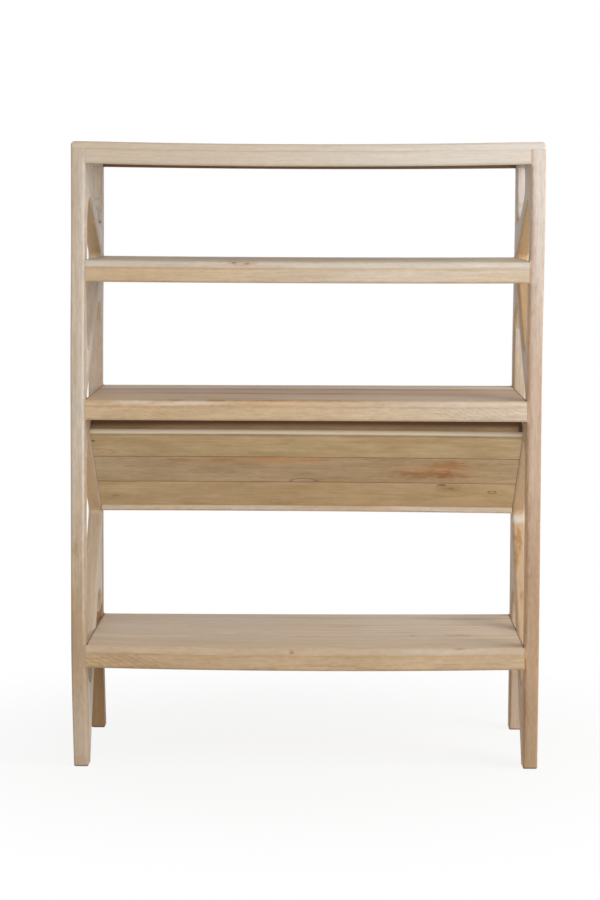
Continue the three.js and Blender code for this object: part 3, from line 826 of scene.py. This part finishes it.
# What single pieces show beside that. A piece with a board shares the grain of that other piece.
FIGURES = {
    "post_front_left": {
        "warm": (0.15, 0.52, 0.55, 0.0),
        "lime": (0.15, 0.60, 0.10, 0.36),
        "flecks": 0.45,
        "edges": 0.10,
        "marks": (
            # Painted highlight and shade: a pale line and an orange line along the rounded inner
            # edge stand in for the light that the edge catches and for warm bounced light.
            ("lime", (-0.4262, -0.199, 0.76), (0.62, 0.0040, 0.006), 0.6),
            ("stain", (-0.4225, -0.196, 0.76), (0.62, 0.0030, 0.005), 0.6),
            ("lime", (-0.436, -0.2, 0.04), (0.16, 0.03, 0.03), 0.25),
            ("stain", (-0.4397, -0.2, 0.4204), (0.020, 0.010, 0.01), 0.35),
            ("stain", (-0.4400, -0.2, 0.0), (0.034, 0.03, 0.03), 0.25),
            FOOT,
        ),
    },
    "post_front_right": {
        "tint": (1.0, 0.93, 1.0),
        "warm": (0.0, 0.80, 0.54, 0.0),
        "lime": (0.26, 0.90, 0.0, 0.54),
        # Painted shade: the honey tone on faces that don't look to the front or back stands in for
        # warm bounced light on the post's rounded sides.
        "broad": (0.0, 1.0, 0.0),
        "cut": (0.6, 0.6),
        "flecks": 0.45,
        "edges": 0.35,
        "marks": (
            # Painted shade: orange lines along both rounded edges stand in for warm bounced light
            # on them.
            ("stain", (0.4262, -0.199, 0.75), (0.65, 0.0065, 0.012), 0.40),
            ("stain", (0.4480, -0.199, 0.75), (0.50, 0.0030, 0.012), 0.35),
            ("crack", (0.4360, -0.200, 0.04), (0.15, 0.04, 0.04), 0.10),
            ("stain", (0.4220, -0.180, 0.09), (0.17, 0.005, 0.06), 0.60),
            FOOT,
        ),
    },
    "post_rear_left": {
        "tint": (1.20, 1.15, 1.13),
        "warm": (0.2, 0.5, 1.0, 0.0),
        "lime": (0.3, 0.7, 0.0, 0.45),
        "marks": (FOOT,),
    },
    "post_rear_right": {
        "warm": (0.03, 0.18, 0.50, 0.16),
        # Partly painted light: the heavy lime towards the top stands in partly for light on the
        # post's inner face. The faces that look to the front or down are lightened as painted
        # light.
        "lime": (0.55, 0.90, 0.19, 1.5),
        "front": (1.08, 1.07, 1.08),
        "marks": (
            ("stain", (0.4225, 0.1625, 0.10), (0.16, 0.004, 0.005), 0.5),
            FOOT,
        ),
    },
    "top_plank_1": {
        "board": "top_rail_front",
        # The lime share rising towards the right end is partly lime and partly painted sheen.
        "lime": (0.0, 1.0, 0.30, 0.80),
        "edges": 0.06,
        # Painted sheen: a whitish patch on the front edge at the right end of the top.
        "marks": (("lime", (0.390, -0.2, 1.190), (0.110, 0.03, 0.013), 0.6),),
    },
    # The lime share rising towards the right end is partly lime and partly painted sheen.
    "top_rail_front": {"lime": (0.0, 1.0, 0.30, 0.70), "edges": 0.06},
    # Painted shade: the rear rail's faces that look to the front or down are darkened, standing in
    # for the shade under the top.
    "top_rail_rear": {"front": (0.37, 0.28, 0.20)},
    "upper_shelf_plank_1": {
        "tint": (0.98, 1.04, 1.06),
        "lime": (0.0, 1.0, 0.45, 0.58),
        "soft": 0.4,
        "streaks": 0.1,
        "rings": 0.05,
        "flecks": 0.25,
        "mineral": 0.05,
        "marks": (
            ("stain", (-0.127, -0.2, 0.971), (0.040, 0.03, 0.006), 0.35),
            ("knot", (-0.140, -0.2, 0.9725), (0.014, 0.03, 0.005), 0.45),
            ("knot", (-0.114, -0.2, 0.9705), (0.012, 0.03, 0.004), 0.40),
        ),
    },
    "upper_shelf_rail_front": {"lime": (0.0, 1.0, 0.0, 0.42)},
    "middle_shelf_plank_1": {
        "board": "middle_shelf_rail_front",
        "lime": (0.3, 1.0, 0.0, 0.30),
        "rings": 0.35,
        "marks": (
            ("lime", (-0.215, -0.2, 0.7035), (0.090, 0.02, 0.006), 0.55),
            ("lime", (-0.330, -0.2, 0.7045), (0.060, 0.02, 0.005), 0.5),
            ("lime", (-0.270, -0.2, 0.7000), (0.050, 0.02, 0.004), 0.4),
            ("stain", (-0.250, -0.2, 0.7090), (0.030, 0.02, 0.0030), 0.6),
            ("stain", (-0.172, -0.2, 0.7090), (0.028, 0.02, 0.0030), 0.6),
            ("stain", (-0.020, -0.2, 0.7090), (0.200, 0.024, 0.0040), 0.5),
            ("swirl", (0.140, -0.2, 0.700), (0.014, 0.02, 0.006), 0.6),
        ),
    },
    "middle_shelf_plank_2": {
        "tint": (1.03, 1.0, 1.0),
        "lime": even(0.12),
        "marks": (
            ("band", (-0.20, -0.030, 0.71), (0.34, 0.026, 0.02), 0.80),
            ("band", (0.12, -0.036, 0.71), (0.40, 0.026, 0.02), 0.90),
        ),
    },
    "middle_shelf_plank_3": {
        "tint": (0.97, 0.93, 0.92),
        "lime": even(0.0),
        "marks": (
            ("band", (-0.25, 0.080, 0.71), (0.25, 0.022, 0.02), 0.55),
            ("band", (0.06, 0.074, 0.71), (0.32, 0.026, 0.02), 0.90),
            ("band", (0.30, 0.070, 0.71), (0.20, 0.024, 0.02), 0.70),
        ),
    },
    "middle_shelf_plank_4": {
        "lime": (0.0, 1.0, 0.35, 0.45),
        "marks": (("band", (0.16, 0.180, 0.71), (0.35, 0.012, 0.02), 0.6),),
    },
    "middle_shelf_rail_front": {
        "lime": (0.3, 1.0, 0.0, 0.30),
        "rings": 0.22,
        "flecks": 0.5,
        "marks": (
            ("slant", (-0.300, -0.2, 0.686), (0.110, 0.03, 0.020), 0.3),
            ("swirl", (0.240, -0.2, 0.675), (0.160, 0.03, 0.030), 0.25),
            ("slant", (0.330, -0.2, 0.688), (0.100, 0.03, 0.022), 0.35),
        ),
    },
    "slope_plank_1": {
        "tint": (1.03, 1.08, 1.10),
        "lime": even(0.0),
        # Partly painted highlight: the pale band along the rounded upper nose.
        "nose": 0.95,
        "seams": (1,),
        "marks": (
            ("swirl", (-0.420, -0.038, 0.593), (0.060, 0.020, 0.02), 0.6),
            ("knot", (-0.418, -0.0751, 0.6185), (0.009, 0.008, 0.02), 0.9),
        ),
    },
    "slope_plank_2": {
        "tint": (0.93, 0.94, 0.98),
        "streaks": 0.42,
        "flecks": 0.55,
        "lime": (0.0, 1.0, 0.08, 0.0),
        "seams": (0, 1),
        "marks": (
            ("stain", (-0.2552, -0.0120, 0.5756), (0.040, 0.008, 0.02), 0.75),
            ("stain", (-0.1639, -0.0120, 0.5756), (0.040, 0.008, 0.02), 0.75),
            ("stain", (-0.0031, -0.0120, 0.5756), (0.065, 0.009, 0.02), 0.40),
            ("rust", (-0.0520, -0.0120, 0.5756), (0.125, 0.010, 0.02), 0.75),
            ("rust", (-0.2100, -0.0120, 0.5756), (0.100, 0.009, 0.02), 0.40),
            ("rust", (0.2600, 0.0160, 0.5570), (0.100, 0.045, 0.02), 0.30),
            ("stain", (0.2772, -0.0004, 0.5678), (0.055, 0.022, 0.02), 0.65),
            ("stain", (0.2350, 0.0331, 0.5450), (0.080, 0.022, 0.02), 0.70),
            ("stain", (0.2873, 0.0380, 0.5417), (0.050, 0.018, 0.02), 0.65),
            ("plug", (-0.0056, 0.0610, 0.5260), (0.026, 0.012, 0.02), 0.45),
        ),
    },
    "slope_plank_3": {
        "tint": (1.10, 1.13, 1.14),
        "lime": even(0.0),
        "seams": (0,),
        "marks": (
            ("swirl", (0.2860, 0.0800, 0.5130), (0.034, 0.024, 0.02), 0.55),
            ("stain", (0.2860, 0.0800, 0.5130), (0.030, 0.018, 0.02), 0.4),
            ("crack", (0.2738, 0.0700, 0.5200), (0.012, 0.0032, 0.02), 0.95),
            ("crack", (0.2930, 0.0840, 0.5105), (0.010, 0.0022, 0.02), 0.7),
            ("plug", (0.3765, 0.0936, 0.5039), (0.008, 0.0055, 0.02), 0.8),
            ("crack", (-0.3900, 0.1155, 0.4890), (0.010, 0.0050, 0.02), 0.35),
        ),
    },
    "slope_lip": {"tint": (1.32, 1.32, 1.22), "lime": even(0.5), "edges": 0.6},
    "slope_back_stop": {
        "tint": (1.18, 1.09, 0.98),
        "edges": 0.0,
        # Painted shade: the back stop darkens towards its top, where the middle shelf's front rail
        # shades it, with more of it at the left. It also darkens at its right end, in the shadow of
        # the right front post.
        "marks": (
            ("shade", (0.0, -0.09, 0.6820), (3.0, 0.3, 0.0400), 0.97),
            ("shade", (-0.9, -0.09, 0.672), (1.0, 0.3, 0.0400), 0.80),
            ("shade", (0.424, -0.086, 0.655), (0.012, 0.05, 0.05), 0.85),
        ),
    },
    "lower_shelf_plank_1": {
        # Painted light: the whole plank is lightened and its faces that look to the front or down
        # are darkened again, so that its top reads lighter than its front edge, as the light falls.
        "tint": (1.12, 1.12, 1.12),
        "front": (0.86, 0.85, 0.83),
        "streaks": 0.13,
        "rings": 0.06,
        "lime": (0.0, 1.0, 0.24, 0.30),
        "marks": (
            ("stain", (0.297, -0.2, 0.2343), (0.022, 0.02, 0.003), 0.7),
            ("stain", (-0.026, -0.2, 0.2300), (0.007, 0.02, 0.004), 0.8),
            ("knot", (-0.026, -0.2, 0.2300), (0.005, 0.02, 0.003), 0.5),
        ),
    },
    "lower_shelf_plank_2": {
        "tint": (1.14, 1.14, 1.14),
        "streaks": 0.12,
        "rings": 0.06,
        "lime": even(0.40),
        "marks": (
            ("lime", (-0.151, -0.029, 0.236), (0.030, 0.020, 0.02), 0.4),
            ("stain", (0.212, -0.052, 0.236), (0.008, 0.012, 0.01), 0.5),
            ("stain", (0.305, -0.055, 0.236), (0.040, 0.014, 0.02), 0.6),
            ("stain", (0.190, -0.020, 0.236), (0.060, 0.012, 0.02), 0.3),
        ),
    },
    "lower_shelf_plank_3": {
        "tint": (1.13, 1.12, 1.11),
        "streaks": 0.13,
        "rings": 0.07,
        "lime": even(0.40),
        "marks": (
            ("lime", (0.165, 0.014, 0.236), (0.060, 0.012, 0.02), 0.5),
            ("band", (0.080, 0.050, 0.236), (0.060, 0.020, 0.02), 0.25),
        ),
    },
    "lower_shelf_plank_4": {
        "tint": (1.10, 1.08, 1.06),
        "streaks": 0.15,
        "lime": even(0.36),
        "marks": (("band", (0.340, 0.140, 0.236), (0.110, 0.030, 0.02), 0.5),),
    },
    "lower_shelf_rail_front": {
        "tint": (1.02, 1.02, 1.02),
        "warm": even(0.15),
        "lime": (0.0, 1.0, 0.0, 0.05),
        "flecks": 0.5,
        "marks": (
            ("slant", (-0.36, -0.2, 0.2042), (0.110, 0.03, 0.022), 0.6),
            ("swirl", (0.02, -0.2, 0.185), (0.220, 0.03, 0.030), 0.35),
        ),
    },
    "brace_top_left": {
        "cut": (0.9, 0.0),
        "lime": even(0.9),
        "marks": (("knot", (-0.422, 0.1280, 1.0450), (0.040, 0.02, 0.013), 0.5),),
    },
    "brace_top_right": {
        # Partly painted light: the tint and the heavy lime brighten the brace's inner face beyond
        # the other braces, standing in partly for light on it.
        "tint": (1.12, 1.10, 1.12),
        "cut": (1.0, 0.0),
        "lime": even(1.3),
        "marks": (("stain", (0.424, 0.145, 1.052), (0.018, 0.02, 0.012), 0.5),),
    },
    "brace_upper_left": {
        "cut": (0.6, 0.3),
        "marks": (("knot", (-0.422, -0.1041, 0.8007), (0.010, 0.02, 0.008), 0.9),),
    },
    "brace_upper_right": {"lime": even(0.4), "cut": (0.65, 1.0)},
    "brace_middle_left": {"lime": even(0.3), "cut": (0.9, 0.9)},
    "brace_middle_right": {"lime": even(0.3), "cut": (0.9, 0.9)},
    "brace_lower_left": {"lime": even(0.45), "cut": (0.5, 0.5)},
    "brace_lower_right": {
        "lime": even(0.2),
        "cut": (0.5, 0.8),
        "marks": (
            # Painted highlight: a pale spot where light from above falls on the brace's rounded
            # top.
            ("lime", (0.432, 0.149, 0.440), (0.014, 0.03, 0.03), 0.9),
            ("stain", (0.434, 0.118, 0.400), (0.034, 0.011, 0.03), 0.75),
            ("stain", (0.428, 0.092, 0.366), (0.024, 0.007, 0.03), 0.70),
            ("stain", (0.436, 0.039, 0.300), (0.014, 0.008, 0.03), 0.55),
            ("stain", (0.423, 0.134, 0.295), (0.016, 0.02, 0.012), 0.55),
            ("stain", (0.420, -0.110, 0.110), (0.140, 0.006, 0.090), 0.55),
        ),
    },
}

# What the pieces of one slot show in common.
SLOT_FIGURES = {
    "post_wood": {"pith": (0.02, 0.06), "rings": 0.16, "streaks": 0.28},
    # The pale lime on the braces' broad faces and the tone of their sawn faces are partly finish
    # and partly painted light, standing in for light inside the side frames.
    "brace_wood": {"lime": even(0.75), "cut": (0.9, 0.3), "edges": 0.0, "ends": 0.1},
    "top_wood": {
        # The lime share rising towards the right end is partly lime and partly painted sheen.
        "lime": (0.0, 1.0, 0.35, 0.60),
        "soft": 0.3,
        "patches": 0.25,
        "rings": 0.05,
        "streaks": 0.1,
        "flecks": 0.2,
    },
    "shelf_wood": {
        "tint": (1.06, 1.06, 1.06),
        "lime": even(0.28),
        "rings": 0.14,
        "streaks": 0.25,
        "joint": 0.8,
    },
    "slope_wood": {"clouds": (9.0, 24.0, 24.0), "patches": 1.0, "streaks": 0.30},
}


def finish_piece(node, group, slot, turn, context):
    """Dresses one CAD node and gives it its own piece of wood."""
    piece = dressed(node, group, context)
    wood = context.scene.rack_wood
    figure = {**PLAIN_FIGURE, **SLOT_FIGURES[slot], **FIGURES.get(node, {})}
    board = figure.get("board", node)
    figure["seed"] = list(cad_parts).index(board) + 1
    board_low, board_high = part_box(board)
    centre = (Vector(board_low) + Vector(board_high)) / 2
    spots = [turn @ (entry.vector - centre) for entry in piece.data.attributes[REST_PLACE].data]
    low = [min(spot[axis] for spot in spots) for axis in range(3)]
    high = [max(spot[axis] for spot in spots) for axis in range(3)]
    base = tuple(getattr(wood, slot))
    material = wood_material(f"{node}_wood", wood, base, turn, centre, low, high, figure)
    piece.data.materials.append(material)


class RACK_OT_posts(bpy.types.Operator):
    """Dresses the four posts and the two side rails under the top"""

    bl_idname = "rack.posts"
    bl_label = "Posts"

    def execute(self, context):
        for side in SIDES:
            for face in FACES:
                finish_piece(f"post_{face}_{side}", "frame", "post_wood", ALONG_Z, context)
            finish_piece(f"top_rail_{side}", "frame", "post_wood", ALONG_Y, context)
        return {"FINISHED"}


class RACK_OT_braces(bpy.types.Operator):
    """Dresses the zigzag of braces in both side frames"""

    bl_idname = "rack.braces"
    bl_label = "Braces"

    def execute(self, context):
        for side in SIDES:
            for level, fall in BRACES.items():
                turn = along_fall(*fall)
                finish_piece(f"brace_{level}_{side}", "frame", "brace_wood", turn, context)
        return {"FINISHED"}


class RACK_OT_top(bpy.types.Operator):
    """Dresses the planks and rails of the top"""

    bl_idname = "rack.top"
    bl_label = "Top"

    def execute(self, context):
        for plank in PLANKS:
            finish_piece(f"top_plank_{plank}", "top", "top_wood", ALONG_X, context)
        for face in FACES:
            finish_piece(f"top_rail_{face}", "top", "top_wood", ALONG_X, context)
        return {"FINISHED"}


class RACK_OT_shelves(bpy.types.Operator):
    """Dresses the planks and rails of the three flat shelves"""

    bl_idname = "rack.shelves"
    bl_label = "Shelves"

    def execute(self, context):
        for shelf in SHELVES:
            for plank in PLANKS:
                finish_piece(f"{shelf}_plank_{plank}", shelf, "shelf_wood", ALONG_X, context)
            for face in FACES:
                finish_piece(f"{shelf}_rail_{face}", shelf, "shelf_wood", ALONG_X, context)
        return {"FINISHED"}


class RACK_OT_slope(bpy.types.Operator):
    """Dresses the sloping display shelf, its lip and its back stop"""

    bl_idname = "rack.slope"
    bl_label = "Sloping shelf"

    def execute(self, context):
        for plank in SLOPE_PLANKS:
            finish_piece(f"slope_plank_{plank}", "slope", "slope_wood", ON_SLOPE, context)
        finish_piece("slope_lip", "slope", "shelf_wood", ALONG_X, context)
        finish_piece("slope_back_stop", "slope", "slope_wood", ALONG_X, context)
        return {"FINISHED"}


def lamp(name, place, target, size, power, context):
    """A soft rectangular lamp that looks at a target."""
    light = bpy.data.lights.new(name, "AREA")
    light.shape = "RECTANGLE"
    light.size, light.size_y = size
    light.energy = power
    holder = bpy.data.objects.new(name, light)
    holder.location = place
    holder.rotation_euler = (Vector(target) - Vector(place)).to_track_quat("-Z", "Y").to_euler()
    context.scene.collection.objects.link(holder)


def seen_plainly(tree):
    """1 for rays that show the backdrop: from the camera, or in a reflection or through glass."""
    paths = Socket(tree).node("ShaderNodeLightPath").output.node.outputs
    shown = Socket(tree, paths["Is Camera Ray"])
    for kind in ("Is Glossy Ray", "Is Transmission Ray"):
        shown = shown.math("MAXIMUM", shown, Socket(tree, paths[kind]))
    return shown


def pale_floor(stage, context):
    """A wide pale floor that keeps the rack's shadow and runs out into white."""
    body = bmesh.new()
    bmesh.ops.create_grid(body, x_segments=1, y_segments=1, size=FLOOR_REACH)
    mesh = bpy.data.meshes.new("floor")
    body.to_mesh(mesh)
    body.free()
    floor = bpy.data.objects.new("floor", mesh)
    context.scene.collection.objects.link(floor)
    material = bpy.data.materials.new("pale_floor")
    material.use_nodes = True
    tree = material.node_tree
    shader = tree.nodes["Principled BSDF"]
    shader.inputs["Base Color"].default_value = opaque(stage.floor)
    shader.inputs["Roughness"].default_value = FLOOR_ROUGHNESS
    shader.inputs["Specular IOR Level"].default_value = FLOOR_SPECULAR
    place = Socket(tree).node("ShaderNodeTexCoord", output="Object")
    away = place.distance().between(*SHADOW_FADE, *FLOOR_WHITE)
    white = place.node("ShaderNodeEmission", None, {"Color": WHITE, "Strength": 1.0})
    lit = Socket(tree, shader.outputs[0])
    both = place.node("ShaderNodeMixShader", None, {0: away * seen_plainly(tree), 1: lit, 2: white})
    tree.links.new(both.output, tree.nodes["Material Output"].inputs["Surface"])
    mesh.materials.append(material)


def white_room(stage, context):
    """A world that is white to the camera and in reflections, and lights the rack softly."""
    world = bpy.data.worlds.new("white_room")
    world.use_nodes = True
    context.scene.world = world
    tree = world.node_tree
    background = tree.nodes["Background"]
    strength = stage.sky_light + seen_plainly(tree) * (1.0 - stage.sky_light)
    tree.links.new(strength.output, background.inputs["Strength"])
    background.inputs["Color"].default_value = WHITE


def photo_camera(stage, context):
    """The camera, at the photograph's viewing angle."""
    pitch, yaw, roll = stage.camera_pitch, stage.camera_yaw, stage.camera_roll
    ahead = Vector((
        math.sin(yaw) * math.cos(pitch), math.cos(yaw) * math.cos(pitch), -math.sin(pitch),
    ))
    level = Vector((math.cos(yaw), -math.sin(yaw), 0))
    upright = level.cross(ahead)
    right = math.cos(roll) * level - math.sin(roll) * upright
    up = math.sin(roll) * level + math.cos(roll) * upright
    camera = bpy.data.cameras.new("camera")
    camera.lens = stage.lens
    camera.shift_y = stage.lens_shift
    holder = bpy.data.objects.new("camera", camera)
    axes = Matrix((right, up, -ahead)).transposed().to_4x4()
    holder.matrix_world = Matrix.Translation(stage.camera_place) @ axes
    context.scene.collection.objects.link(holder)
    context.scene.camera = holder


class RACK_OT_stage(bpy.types.Operator):
    """Sets up the floor, the room, the lamps and the camera"""

    bl_idname = "rack.stage"
    bl_label = "Stage"

    def execute(self, context):
        stage = context.scene.rack_stage
        pale_floor(stage, context)
        white_room(stage, context)
        for name, (place, target, size, power) in LAMPS.items():
            lamp(name, place, target, size, getattr(stage, power), context)
        photo_camera(stage, context)
        context.scene.view_settings.view_transform = "Standard"
        return {"FINISHED"}


class RACK_PT_panel(bpy.types.Panel):
    """Lists the steps that dress the rack"""

    bl_label = "Display rack"
    bl_idname = "RACK_PT_panel"
    bl_space_type = "VIEW_3D"
    bl_region_type = "UI"
    bl_category = "Rack"

    def draw(self, context):
        for step in STEPS:
            self.layout.operator(step.bl_idname)


STEPS = (
    RACK_OT_posts, RACK_OT_braces, RACK_OT_top, RACK_OT_shelves, RACK_OT_slope, RACK_OT_stage,
)
SETTINGS = {"rack_wood": RackWood, "rack_shape": RackShape, "rack_stage": RackStage}


def register():
    for each in (*SETTINGS.values(), *STEPS, RACK_PT_panel):
        bpy.utils.register_class(each)
    for name, group in SETTINGS.items():
        setattr(bpy.types.Scene, name, PointerProperty(type=group))


def unregister():
    for name in SETTINGS:
        delattr(bpy.types.Scene, name)
    for each in (RACK_PT_panel, *reversed(STEPS), *SETTINGS.values()):
        bpy.utils.unregister_class(each)


def main():
    register()
    bpy.ops.rack.posts()
    bpy.ops.rack.braces()
    bpy.ops.rack.top()
    bpy.ops.rack.shelves()
    bpy.ops.rack.slope()
    bpy.ops.rack.stage()


if __name__ == "__main__":
    main()
